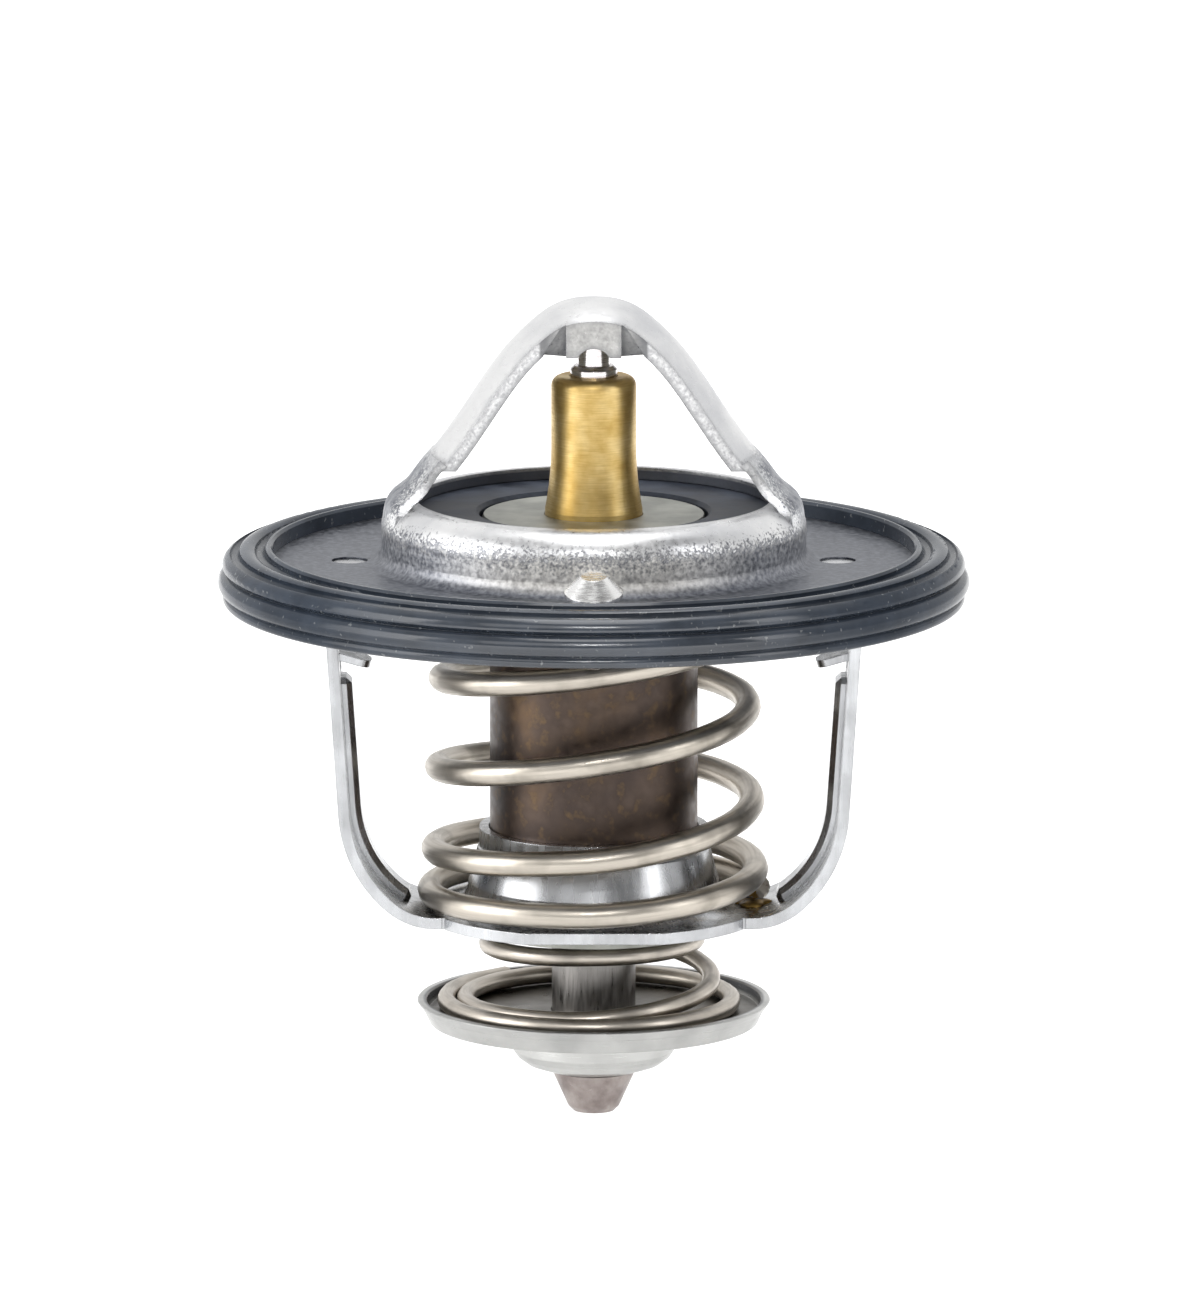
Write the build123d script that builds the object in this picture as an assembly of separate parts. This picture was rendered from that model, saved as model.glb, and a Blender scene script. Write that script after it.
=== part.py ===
from build123d import *
import math
import os

# A wax thermostat for an engine's coolant, with a bypass valve below it.
# Millimetres. The Z axis is the thermostat's own axis, with the bridge at the top.
# Z = 0 is the lower face of the gasket, which seats in the housing.

# How far a cut runs through the sheet that it opens
overcut = 4.0

# Upper frame: flange, collar and bridge drawn from one sheet
frame_sheet = 1.0
flange_top = 3.3
flange_radius = 28.0
collar_radius = 17.0
collar_rise = 5.1
rim_width = 2.8
shoulder_bend = 2.3
collar_root_bend = 1.2

# Bridge over the collar
bridge_rise = 21.3
bridge_foot_half_width = 5.7
bridge_arm_half_width = 4.6
bridge_crown = 1.2
bridge_sink = 0.04
foot_start = 2.4
foot_sheet = 0.7
foot_wide_top = 4.6
elbow_rise = 6.0
elbow_inset = 1.5
elbow_ease = 0.15
arm_inset = 3.9
arm_rise = 8.9
notch_rise = 8.0
foot_points = 6
strip_start = 0.12
strip_stations = 24
arm_top_reach = 6.9
arm_top_drop = 3.8
crest_reach = 2.9
crest_drop = 0.5
crest_swell = 0.35

# Nose of the bridge, which the piston stands in
nose_bottom = 20.45
nose_radius = 2.2
nose_pocket_top = 22.9
socket_rise = 0.45
skirt_sheet = 1.0
web_half_span = 4.3
web_step = 0.35
web_root_rise = 0.5
web_root_reach = 4.9
skirt_tuck = 1.5
skirt_side_tuck = 3.0
crease_rise = 3.4
crease_depth = 1.1
crease_margin = 0.1
arch_radius = 1.5
arch_sink = 0.75

# Gasket, moulded round the edge of the flange
gasket_wall = 2.05
gasket_groove_wall = 1.3
gasket_upper_lip_wall = 1.7
gasket_cover = 2.35
gasket_foot_cover = 2.8
gasket_rib_inset = 0.3
gasket_rib_width = 1.2
gasket_lip_rise = 1.3
gasket_rib_rise = 1.1
gasket_groove_rise = 0.4
gasket_edge = 0.2
gasket_upper_bulge = 3.35
gasket_upper_nip = 2.6
gasket_bulge = 1.65
gasket_lower_nip = 0.85
gasket_low_bulge = 0.45

# Jiggle pin, loose in its hole through the flange
pin_offset = 2.7
pin_hole_offset = 2.45
pin_hole_radius = 1.4
pin_seat_rise = 0.35
pin_seat_radius = 2.0
pin_head_radius = 2.32
pin_head_edge = 0.3
pin_flat_radius = 1.04
pin_head_height = 1.31
pin_shank_radius = 0.75
pin_tail = 4.8
pin_weight_radius = 1.5
pin_weight_clearance = 0.02
pin_weight_grip = 1.2
pin_lean = 12.0
pin_lift = 0.8

# Lower frame: stirrup folded from one strip
stirrup_sheet = 0.9
plate_top = -24.7
plate_edge = 1.35
plate_flat_edge = 0.15
leg_offset = 4.68
leg_lean = 3.9
root_bend = 6.0
root_run = 0.5864
bend_slope = 40.0
leg_root_half_width = 6.0
leg_top_half_width = 5.2
foot_offset = 0.9
foot_bend = 1.6
foot_inner_bend = 0.7
bead_half_width = 1.7
bead_height = 0.85
bead_wall = 0.7
bead_edge = 0.45
bead_sink = 0.56
bead_top = -6.0
bead_end_slope = 25.0
groove_inset = 1.1
window_top = -4.2
window_height = 1.5
window_half_width = 1.6
tongue_length = 3.0
tongue_slope = 16.0
tongue_sheet = 0.6
tongue_tip = 1.1
tongue_sink = 0.3
clinch_offset = 2.5
clinch_radius = 1.45
clinch_clearance = 0.08
clinch_sink = 0.15
clinch_wall = 0.6
stirrup_collar_top = -18.3
stirrup_collar_step = -19.8
stirrup_collar_wall = 0.75
stirrup_flare = 2.0
stirrup_spread = 0.88
corner_notch = 0.3

# Wax element
case_radius = 8.32
case_wall = 0.8
case_top = 6.2
case_bottom = -25.8
case_floor = 1.6
case_lip = 0.6
case_lip_reach = 1.2
case_corner = 0.8
case_slide_clearance = 0.10
guide_radius = 3.4
guide_top = 18.3
guide_edge = 0.8
guide_flare_radius = 3.9
guide_flare_start = 12.6
guide_flange_sheet = 1.0
guide_tail_radius = 4.5
guide_tail_bottom = 0.5
guide_tail_edge = 0.6
guide_clearance = 0.05
piston_radius = 1.9
piston_clearance = 0.05
piston_tip_radius = 1.3
piston_shoulder = 19.15
piston_chamfer = 0.3
piston_bottom = 6.8
pocket_clearance = 0.04
backup_thickness = 0.6
plug_length = 2.5
boot_wall = 0.8
fill_clearance = 0.03
fluid_mouth = 3.6
fluid_throat = 1.2
boot_edge = 1.0
boot_sag = 0.3

# Main valve
valve_sheet = 0.9
valve_inset = 0.8
valve_step_margin = 0.48
valve_step_drop = 0.75
face_inset = 0.3
face_skirt = 0.6
face_round = 0.5
face_shoulder = 1.2
seal_gap = 0.05
seat_ring_case_gap = 1.16
seat_ring_margin = 0.6
seat_ring_wrap_gap = 0.78
seat_ring_wire_gap = 0.3
seat_ring_lip = 0.9
seat_ring_sheet = 0.8

# Main spring
main_wire = 2.04
main_coil_clearance = 0.18
main_first_angle = 6.0
main_heights = (
    (0.0, 0.0),
    (0.5, 0.15),
    (0.75, 0.6),
    (1.0, 1.85),
    (1.5, 3.9),
    (1.75, 5.0),
    (2.0, 7.2),
    (2.75, 12.9),
    (3.75, 20.0),
    (4.5, 25.2),
    (5.0, 27.0),
    (5.5, 27.4),
)
main_side_rise = 0.7
spring_rest_gap = 0.03
spring_points_per_turn = 8

# Bypass stem, valve, spring and clip
stem_radius = 3.35
stem_socket = 1.0
stem_fit = 0.01
stem_bottom = -41.55
stem_end_radius = 2.05
stem_end_edge = 0.4
dish_radius = 14.15
dish_rim_top = -32.4
dish_rim_bottom = -34.25
dish_rim_width = 0.75
dish_rim_taper = 0.95
dish_rim_line = 0.75
dish_line_depth = 0.1
dish_floor = -33.3
dish_sheet = 1.1
dish_hub_radius = 6.5
dish_hub_shoulder = -36.5
dish_hub_round = 1.1
dish_hub_bottom = -38.1
dish_hub_foot_radius = 3.95
dish_clip_recess = 0.5
dish_slide_clearance = 0.08
bypass_seat_margin = 0.88
bypass_seat_sheet = 0.8
bypass_seat_clearance = 0.10
bypass_wire = 1.44
bypass_first_angle = 126.0
bypass_heights = (
    (0.0, 0.0),
    (1.15, 0.05),
    (1.4, 0.35),
    (1.65, 1.85),
    (1.9, 3.75),
    (2.15, 4.7),
    (2.4, 5.2),
    (2.9, 5.25),
)
bypass_radii = (
    (0.0, 12.05),
    (1.4, 9.9),
    (2.15, 8.5),
    (2.9, 8.1),
)
clip_wire = 0.6
clip_depth = 0.35
clip_clearance = 0.05
clip_gap = 24.0

# Values that follow from the ones above
flange_bottom = flange_top - frame_sheet
rim_top = flange_top + collar_rise
rim_bottom = rim_top - frame_sheet
rim_radius = collar_radius - rim_width
collar_bore = collar_radius - frame_sheet
shoulder_centre = (collar_radius - shoulder_bend, rim_top - shoulder_bend)
bridge_apex = flange_top + bridge_rise
diagonal = math.sqrt(0.5)
pin_place_radius = collar_radius + pin_offset
pin_hole_place_radius = collar_radius + pin_hole_offset
clinch_place_radius = collar_radius + clinch_offset
leg_top_radius = collar_radius + leg_offset
foot_inner_radius = collar_radius + foot_offset
plate_bottom = plate_top - stirrup_sheet
stirrup_bore = case_radius + case_slide_clearance
stirrup_flare_reach = stirrup_bore + stirrup_collar_wall + stirrup_flare + stirrup_spread
plate_radius = stirrup_flare_reach + plate_edge
plate_flat = stirrup_flare_reach + plate_flat_edge
main_coil_bottom = stirrup_flare_reach + main_wire / 2 + main_coil_clearance
lean = math.radians(leg_lean)
case_bore = case_radius - case_wall
case_floor_top = case_bottom + case_floor
guide_flange_top = case_top - case_lip
guide_flange_bottom = guide_flange_top - guide_flange_sheet
guide_flange_radius = case_bore - guide_clearance
valve_radius = collar_bore - valve_inset
valve_step_radius = case_radius + valve_step_margin
valve_wrap_radius = valve_radius - face_shoulder
valve_inner_top = case_top + valve_sheet
valve_outer_top = valve_inner_top - valve_step_drop
valve_outer_bottom = valve_outer_top - valve_sheet
face_top = rim_bottom - seal_gap
face_radius = collar_bore - face_inset
seat_ring_bottom = valve_outer_bottom - seat_ring_sheet
seat_ring_room = valve_wrap_radius - case_radius - seat_ring_sheet - seat_ring_wire_gap - main_wire
seat_ring_ease = seat_ring_room / (seat_ring_case_gap + seat_ring_margin + seat_ring_wrap_gap)
seat_ring_inner = case_radius + seat_ring_case_gap * seat_ring_ease
main_coil_top = seat_ring_inner + seat_ring_sheet + seat_ring_wire_gap + main_wire / 2
seat_ring_outer = main_coil_top + main_wire / 2 + seat_ring_margin * seat_ring_ease
plug_bottom = piston_bottom - backup_thickness - plug_length
boot_radius = guide_tail_radius + fill_clearance + boot_wall
boot_bottom = guide_tail_bottom - boot_wall - fill_clearance
bypass_seat_radius = case_radius + bypass_seat_margin
bypass_seat_bottom = case_bottom - bypass_seat_sheet
clip_centre_radius = stem_radius - clip_depth + clip_wire / 2
clip_recess_top = dish_hub_bottom + dish_clip_recess
clip_height = clip_recess_top - clip_clearance - clip_wire / 2
clip_groove_top = clip_height + clip_wire / 2 + clip_clearance / 2
clip_groove_bottom = clip_height - clip_wire / 2 - clip_clearance / 2


def turned(points):
    """Turn a closed outline of (radius, height) points round the axis."""
    with BuildPart() as part:
        with BuildSketch(Plane.XZ):
            with BuildLine():
                Polyline(*points, close=True)
            make_face()
        revolve(axis=Axis.Z)
    return part.part


def post(radius, bottom, top):
    """A plain round post on the axis."""
    return Pos(0, 0, bottom) * Cylinder(
        radius, top - bottom, align=(Align.CENTER, Align.CENTER, Align.MIN)
    )


def save(shape, name):
    export_step(shape, "parts/" + name + ".step")


# Upper frame
def collar_and_flange():
    """The round part: a flat flange, a wall with bent root and a rolled-in rim."""
    root = collar_root_bend
    inner_root = collar_root_bend + frame_sheet
    centre_r, centre_z = shoulder_centre
    inner_bend = shoulder_bend - frame_sheet
    with BuildPart() as part:
        with BuildSketch(Plane.XZ):
            with BuildLine():
                Line((flange_radius, flange_bottom), (flange_radius, flange_top))
                Line((flange_radius, flange_top), (collar_radius + root, flange_top))
                ThreePointArc(
                    (collar_radius + root, flange_top),
                    (
                        collar_radius + root * (1 - diagonal),
                        flange_top + root * (1 - diagonal),
                    ),
                    (collar_radius, flange_top + root),
                )
                Line((collar_radius, flange_top + root), (collar_radius, centre_z))
                ThreePointArc(
                    (collar_radius, centre_z),
                    (
                        centre_r + shoulder_bend * diagonal,
                        centre_z + shoulder_bend * diagonal,
                    ),
                    (centre_r, rim_top),
                )
                Line((centre_r, rim_top), (rim_radius, rim_top))
                Line((rim_radius, rim_top), (rim_radius, rim_bottom))
                Line((rim_radius, rim_bottom), (centre_r, rim_bottom))
                ThreePointArc(
                    (centre_r, rim_bottom),
                    (centre_r + inner_bend * diagonal, centre_z + inner_bend * diagonal),
                    (collar_bore, centre_z),
                )
                Line((collar_bore, centre_z), (collar_bore, flange_top + root))
                ThreePointArc(
                    (collar_bore, flange_top + root),
                    (
                        collar_bore + inner_root * (1 - diagonal),
                        flange_bottom + inner_root * (1 - diagonal),
                    ),
                    (collar_bore + inner_root, flange_bottom),
                )
                Line((collar_bore + inner_root, flange_bottom), (flange_radius, flange_bottom))
            make_face()
        revolve(axis=Axis.Z)
    return part.part


def bridge_half():
    """The outer face of the bridge seen from the front, from the collar's wall to the crest."""
    wall = collar_radius - bridge_sink
    elbow = flange_top + elbow_rise
    elbow_reach = wall - elbow_inset
    arm_reach = wall - arm_inset
    arm_height = flange_top + arm_rise
    arm_top = bridge_apex - arm_top_drop
    crest = bridge_apex - crest_drop
    return (
        (wall, flange_top + foot_start),
        (wall - elbow_ease, (flange_top + foot_start + elbow) / 2 - elbow_ease),
        (wall - elbow_inset / 2 + elbow_ease, elbow - elbow_inset / 2),
        (elbow_reach, elbow),
        ((elbow_reach + arm_reach) / 2, (elbow + arm_height) / 2),
        (arm_reach, arm_height),
        ((arm_reach + arm_top_reach) / 2, (arm_height + arm_top) / 2),
        (arm_top_reach, arm_top),
        ((arm_top_reach + crest_reach + crest_swell) / 2, (arm_top + crest + crest_swell) / 2),
        (crest_reach, crest),
    )


def bridge_path():
    """Centre line of the bridge's outer face, from the right foot over to the left."""
    right = [(x, 0, z) for x, z in bridge_half()]
    left = [(-x, 0, z) for x, _, z in reversed(right)]
    return Spline(*right, (0, 0, bridge_apex), *left)


def inner_face(points, sheet):
    """The points of a sheet's inner face, square to the curve through its outer points."""
    curve = Spline(*points)
    inner = []
    for step in range(len(points)):
        share = step / (len(points) - 1)
        place = curve @ share
        ahead = curve % share
        inner.append((place.X - ahead.Y * sheet, place.Y + ahead.X * sheet))
    return inner


def bridge_foot():
    """The right arm's lower end, rolled to the collar's round and widening down to it."""
    outer = bridge_half()[:foot_points]
    inner = inner_face(outer, foot_sheet)
    wide = bridge_foot_half_width
    narrow = bridge_arm_half_width
    bottom = flange_top + foot_start
    wide_top = flange_top + foot_wide_top
    top = flange_top + arm_rise
    with BuildPart() as sheet:
        with BuildSketch(Plane.XZ):
            with BuildLine():
                Spline(*outer)
                Line(outer[-1], inner[-1])
                Spline(*inner)
                Line(inner[0], outer[0])
            make_face()
        revolve(axis=Axis.Z)
    with BuildPart() as outline:
        with BuildSketch(Plane.YZ):
            with BuildLine():
                Line((-wide, bottom), (wide, bottom))
                Line((wide, bottom), (wide, wide_top))
                ThreePointArc(
                    (wide, wide_top),
                    (narrow + (wide - narrow) / 4, (wide_top + top) / 2),
                    (narrow, top),
                )
                Line((narrow, top), (-narrow, top))
                ThreePointArc(
                    (-narrow, top),
                    (-narrow - (wide - narrow) / 4, (wide_top + top) / 2),
                    (-wide, wide_top),
                )
                Line((-wide, wide_top), (-wide, bottom))
            make_face()
        extrude(amount=collar_radius)
    return sheet.part & outline.part


def bridge_section(path, share):
    """A crowned strip across the bridge, square to its centre line."""
    half_width = bridge_arm_half_width
    crown = bridge_crown
    place = Plane(path @ share, x_dir=(0, 1, 0), z_dir=path % share)
    with BuildSketch(place) as section:
        with BuildLine():
            ThreePointArc((-half_width, crown), (0, 0), (half_width, crown))
            Line((half_width, crown), (half_width, crown + frame_sheet))
            ThreePointArc(
                (half_width, crown + frame_sheet),
                (0, frame_sheet),
                (-half_width, crown + frame_sheet),
            )
            Line((-half_width, crown + frame_sheet), (-half_width, crown))
        make_face()
    return section.sketch


def bridge_strip():
    """Both arms and the crest, one crowned strip of even width."""
    path = bridge_path()
    notch = flange_top + notch_rise
    run = 1 - 2 * strip_start
    sections = [
        bridge_section(path, strip_start + run * step / strip_stations)
        for step in range(strip_stations + 1)
    ]
    return loft(sections) - post(collar_radius, flange_top, notch)


def crease(side):
    """The slanted pocket beside the nose's flat front, deepest along its upright crease."""
    front = -bridge_arm_half_width - crease_margin
    bottom_edge = nose_bottom - crease_margin
    edge = side * nose_radius
    top = Vector(edge, front, nose_bottom + crease_rise)
    bottom = Vector(edge, front, bottom_edge)
    outer = Vector(side * web_half_span, front, bottom_edge + web_step)
    deep = Vector(edge, front + crease_depth, bottom_edge)
    corners = ((top, bottom, outer), (top, bottom, deep), (bottom, outer, deep), (outer, top, deep))
    return Solid(Shell([Face(Wire.make_polygon(corner)) for corner in corners]))


def nose():
    """The socket under the crest, with the strip's edges turned down before and behind."""
    root = nose_bottom + web_root_rise
    with BuildPart() as skirt:
        with BuildSketch(Plane.XZ.offset(bridge_arm_half_width - skirt_sheet)):
            with BuildLine():
                Polyline(
                    (-nose_radius, nose_bottom),
                    (nose_radius, nose_bottom),
                    (web_half_span, nose_bottom + web_step),
                    (web_root_reach, root),
                    (web_half_span, bridge_apex - skirt_side_tuck),
                    (0, bridge_apex - skirt_tuck),
                    (-web_half_span, bridge_apex - skirt_side_tuck),
                    (-web_root_reach, root),
                    (-web_half_span, nose_bottom + web_step),
                    close=True,
                )
            make_face()
        extrude(amount=skirt_sheet)
    arch = Pos(0, -bridge_arm_half_width, nose_bottom - arch_sink) * Rot(90, 0, 0)
    front = skirt.part - arch * Cylinder(arch_radius, overcut)
    socket = post(nose_radius, nose_bottom + socket_rise, bridge_apex - frame_sheet / 2)
    return socket, front


def upper_frame():
    socket, skirt = nose()
    foot = bridge_foot()
    bridge = bridge_strip() + socket
    bridge = bridge + skirt
    bridge = bridge + mirror(skirt, about=Plane.XZ)
    for pocket in (crease(1), crease(-1)):
        bridge = bridge - pocket - mirror(pocket, about=Plane.XZ)
    bridge = bridge + foot
    bridge = bridge + mirror(foot, about=Plane.YZ)
    frame = collar_and_flange() + bridge
    frame -= post(piston_tip_radius + pocket_clearance, nose_bottom - frame_sheet, nose_pocket_top)
    lip = Pos(0, -pin_hole_place_radius, flange_top - pin_seat_rise) * Cone(
        pin_seat_radius + pin_seat_rise,
        pin_seat_radius - pin_seat_rise,
        2 * pin_seat_rise,
        align=(Align.CENTER, Align.CENTER, Align.MIN),
    )
    hole = Pos(0, -pin_hole_place_radius, flange_top) * Cylinder(pin_hole_radius, overcut)
    frame = frame + lip - hole
    for side in (-1, 1):
        frame -= Pos(side * clinch_place_radius, 0, flange_top) * Cylinder(
            clinch_radius, overcut
        )
    return frame


def gasket():
    """One rubber moulding with a groove for the flange, ribs above and lips outside."""
    edge = gasket_edge
    lip_top = flange_top + gasket_lip_rise
    rib_top = flange_top + gasket_rib_rise
    groove_top = flange_top + gasket_groove_rise
    inner = flange_radius - gasket_cover
    foot = flange_radius - gasket_foot_cover
    rib = flange_radius - gasket_rib_inset
    nip = flange_radius + gasket_groove_wall
    upper_lip = flange_radius + gasket_upper_lip_wall
    outside = flange_radius + gasket_wall
    rib_start = rib - gasket_rib_width / 2
    rib_end = rib + gasket_rib_width / 2
    lip_end = inner + 3 * edge
    upper_top = groove_top + edge
    with BuildPart() as part:
        with BuildSketch(Plane.XZ):
            with BuildLine():
                Polyline((inner, flange_top), (inner, lip_top - edge), (inner + edge, lip_top))
                Polyline((inner + edge, lip_top), (inner + 2 * edge, lip_top), (lip_end, lip_top - edge))
                ThreePointArc(
                    (lip_end, lip_top - edge),
                    ((lip_end + rib_start) / 2, groove_top),
                    (rib_start, rib_top - edge),
                )
                ThreePointArc((rib_start, rib_top - edge), (rib, rib_top), (rib_end, rib_top - edge))
                ThreePointArc(
                    (rib_end, rib_top - edge),
                    ((rib_end + nip - edge) / 2, groove_top - edge),
                    (nip - edge, upper_top),
                )
                ThreePointArc(
                    (nip - edge, upper_top),
                    (upper_lip - edge / 2, gasket_upper_bulge + edge / 2),
                    (upper_lip, gasket_upper_bulge - 2 * edge),
                )
                Line((upper_lip, gasket_upper_bulge - 2 * edge), (nip, gasket_upper_nip))
                ThreePointArc(
                    (nip, gasket_upper_nip), (outside, gasket_bulge), (nip + edge, gasket_lower_nip)
                )
                ThreePointArc(
                    (nip + edge, gasket_lower_nip), (nip + 2 * edge, gasket_low_bulge), (nip, 0)
                )
                Line((nip, 0), (foot + 2 * edge, 0))
                Polyline((foot + 2 * edge, 0), (foot, 2 * edge), (foot, flange_bottom))
                Line((foot, flange_bottom), (flange_radius, flange_bottom))
                Line((flange_radius, flange_bottom), (flange_radius, flange_top))
                Line((flange_radius, flange_top), (inner, flange_top))
            make_face()
        revolve(axis=Axis.Z)
    return part.part


# Lower frame
# The leg leaves the foot at its lean, and its wide bend is as large as lets the strip
# run into the tighter root bend and land on the plate just outside the flared collar.
leg_run = math.tan(lean)
slope = math.radians(bend_slope)
root_centre_x = stirrup_flare_reach + root_run
root_centre_z = plate_bottom + root_bend
root_share = math.cos(slope) * leg_run + math.sin(slope)
leg_bend = (
    leg_top_radius - root_centre_x - (flange_bottom - root_centre_z) * leg_run - root_bend * root_share
) / (1 / math.cos(lean) - root_share)
knee_centre_x = root_centre_x - (leg_bend - root_bend) * math.sin(slope)
knee_centre_z = root_centre_z + (leg_bend - root_bend) * math.cos(slope)


def knee_point(offset, slope):
    """A point on the knee, inside the outer face by the offset, where the strip has a slope."""
    radius = leg_bend - offset
    angle = math.radians(slope)
    return (knee_centre_x + radius * math.sin(angle), knee_centre_z - radius * math.cos(angle))


def root_point(offset, slope):
    """A point on the tighter bend into the plate, where the strip has a slope."""
    radius = root_bend - offset
    angle = math.radians(slope)
    return (root_centre_x + radius * math.sin(angle), root_centre_z - radius * math.cos(angle))


def leg_point(offset, height):
    """A point on the straight leg, at a height."""
    foot_x, foot_z = knee_point(offset, 90 - leg_lean)
    return (foot_x + (height - foot_z) * leg_run, height)


def leg_edge(offset, top, end_slope):
    """The strip's line at an offset, from a height on the leg down to a slope in the root."""
    knee_top = 90 - leg_lean
    start = leg_point(offset, top)
    knee = knee_point(offset, knee_top)
    joint = root_point(offset, bend_slope)
    end = root_point(offset, end_slope)
    line = Line(start, knee)
    bend = ThreePointArc(knee, knee_point(offset, (knee_top + bend_slope) / 2), joint)
    root = ThreePointArc(joint, root_point(offset, (bend_slope + end_slope) / 2), end)
    return start, end, (line, bend, root)


def strip_band():
    """The right leg seen from the front: foot, leg, bend and run to the plate."""
    under = flange_bottom - stirrup_sheet
    low = flange_bottom - foot_bend
    inner_bend = foot_inner_bend
    root = stirrup_flare_reach - stirrup_sheet
    with BuildPart() as part:
        with BuildSketch(Plane.XZ):
            with BuildLine():
                outer_start, outer_end, _ = leg_edge(0, low, 0)
                inner_start, inner_end, _ = leg_edge(stirrup_sheet, under - inner_bend, 0)
                corner_x = leg_point(0, flange_bottom)[0]
                ThreePointArc(
                    outer_start,
                    (
                        corner_x - foot_bend * (1 - diagonal),
                        flange_bottom - foot_bend * (1 - diagonal),
                    ),
                    (corner_x - foot_bend, flange_bottom),
                )
                Line((corner_x - foot_bend, flange_bottom), (foot_inner_radius, flange_bottom))
                Line((foot_inner_radius, flange_bottom), (foot_inner_radius, under))
                Line((foot_inner_radius, under), (inner_start[0] - inner_bend, under))
                Line((inner_start[0] - inner_bend, under), inner_start)
                Line(inner_end, (root, plate_top))
                Line((root, plate_top), (root, plate_bottom))
                Line((root, plate_bottom), outer_end)
            make_face()
        extrude(amount=2 * leg_root_half_width, both=True)
    return part.part


def leg_outline():
    """The strip's width from the side, with the foot's rounded end in plan."""
    with BuildPart() as side:
        with BuildSketch(Plane.YZ):
            with BuildLine():
                Polyline(
                    (-leg_root_half_width, plate_bottom - stirrup_sheet),
                    (leg_root_half_width, plate_bottom - stirrup_sheet),
                    (leg_root_half_width, plate_bottom + root_bend / 2),
                    (leg_top_half_width, flange_top),
                    (-leg_top_half_width, flange_top),
                    (-leg_root_half_width, plate_bottom + root_bend / 2),
                    close=True,
                )
            make_face()
        extrude(amount=leg_top_radius + stirrup_sheet)
    return side.part


def bead(outer_offset, inner_offset, half_width, shortening):
    """A band along the leg between two depths, from below the window into the root bend."""
    top = bead_top - shortening
    end_slope = bead_end_slope + math.degrees(shortening / root_bend)
    with BuildPart() as part:
        with BuildSketch(Plane.XZ):
            with BuildLine():
                near_start, near_end, _ = leg_edge(outer_offset, top, end_slope)
                far_start, far_end, _ = leg_edge(inner_offset, top, end_slope)
                Line(near_start, far_start)
                Line(near_end, far_end)
            make_face()
        extrude(amount=half_width, both=True)
    return part.part


def tongue():
    """The tab cut from the leg and bent inwards, rounded at its tip."""
    tab = Box(
        tongue_length,
        2 * (window_half_width - clinch_clearance),
        tongue_sheet,
        align=(Align.MAX, Align.CENTER, Align.MAX),
    )
    tab = fillet(tab.edges().filter_by(Axis.Z).group_by(Axis.X)[0], tongue_tip)
    return tab.rotate(Axis.Y, -tongue_slope)


def leg():
    """One leg with its foot, stiffening bead, window, tongue and clinch boss."""
    sheet = stirrup_sheet
    strip = strip_band() & leg_outline()
    ridge = bead(sheet - bead_sink, sheet + bead_height, bead_half_width, 0)
    ridge = chamfer(ridge.edges(), bead_edge)
    strip = strip + ridge
    groove = bead(-sheet, sheet + bead_height - bead_wall, bead_half_width - groove_inset, groove_inset)
    strip -= groove
    inner_x = leg_point(sheet, window_top)[0]
    strip -= Pos(inner_x, 0, window_top) * Box(
        overcut,
        2 * window_half_width,
        window_height,
        align=(Align.CENTER, Align.CENTER, Align.MAX),
    )
    strip = strip + Pos(inner_x + tongue_sink, 0, window_top + tongue_sheet / 2) * tongue()
    boss = Pos(clinch_place_radius, 0, flange_bottom - sheet / 2) * Cylinder(
        clinch_radius - clinch_clearance,
        frame_sheet + sheet / 2 - clinch_sink,
        align=(Align.CENTER, Align.CENTER, Align.MIN),
    )
    dimple = Pos(clinch_place_radius, 0, flange_bottom - sheet) * Cylinder(
        clinch_radius - clinch_wall, sheet, align=(Align.CENTER, Align.CENTER, Align.MIN)
    )
    return strip + boss - dimple


def stirrup_collar():
    """The ring drawn up from the plate, which guides the wax case, flared at its foot."""
    bore = stirrup_bore
    outside = bore + stirrup_collar_wall
    ease = stirrup_sheet - stirrup_collar_wall
    flare = stirrup_flare
    flare_end = stirrup_flare_reach
    flare_start = flare_end - flare
    under = flare + stirrup_sheet
    knee = plate_top + flare
    with BuildPart() as part:
        with BuildSketch(Plane.XZ):
            with BuildLine():
                Line((bore, stirrup_collar_top), (outside, stirrup_collar_top))
                Line((outside, stirrup_collar_top), (outside, stirrup_collar_step))
                Line((outside, stirrup_collar_step), (outside + ease, stirrup_collar_step - ease))
                Line((outside + ease, stirrup_collar_step - ease), (flare_start, knee))
                ThreePointArc(
                    (flare_start, knee),
                    (flare_start + flare * (1 - diagonal), plate_top + flare * (1 - diagonal)),
                    (flare_end, plate_top),
                )
                Line((flare_end, plate_top), (flare_end, plate_bottom))
                ThreePointArc(
                    (flare_end, plate_bottom),
                    (
                        flare_end - under * diagonal,
                        plate_bottom + under * (1 - diagonal),
                    ),
                    (flare_end - under, plate_bottom + under),
                )
                Line((flare_end - under, plate_bottom + under), (bore, stirrup_collar_step))
                Line((bore, stirrup_collar_step), (bore, stirrup_collar_top))
            make_face()
        revolve(axis=Axis.Z)
    return part.part


def lower_frame():
    plate = post(plate_radius, plate_bottom, plate_top)
    plate &= Pos(0, 0, plate_bottom) * Box(4 * plate_radius, 2 * plate_flat, overcut)
    right = leg()
    frame = plate + right + mirror(right, about=Plane.YZ)
    frame -= post(stirrup_flare_reach - bead_edge, plate_bottom - frame_sheet, plate_top + frame_sheet)
    corner_x = math.sqrt(plate_radius**2 - leg_root_half_width**2)
    for x_side in (-1, 1):
        for y_side in (-1, 1):
            frame -= Pos(x_side * corner_x, y_side * leg_root_half_width, plate_bottom) * Box(
                corner_notch, corner_notch, overcut
            )
    return frame + stirrup_collar()


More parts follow.
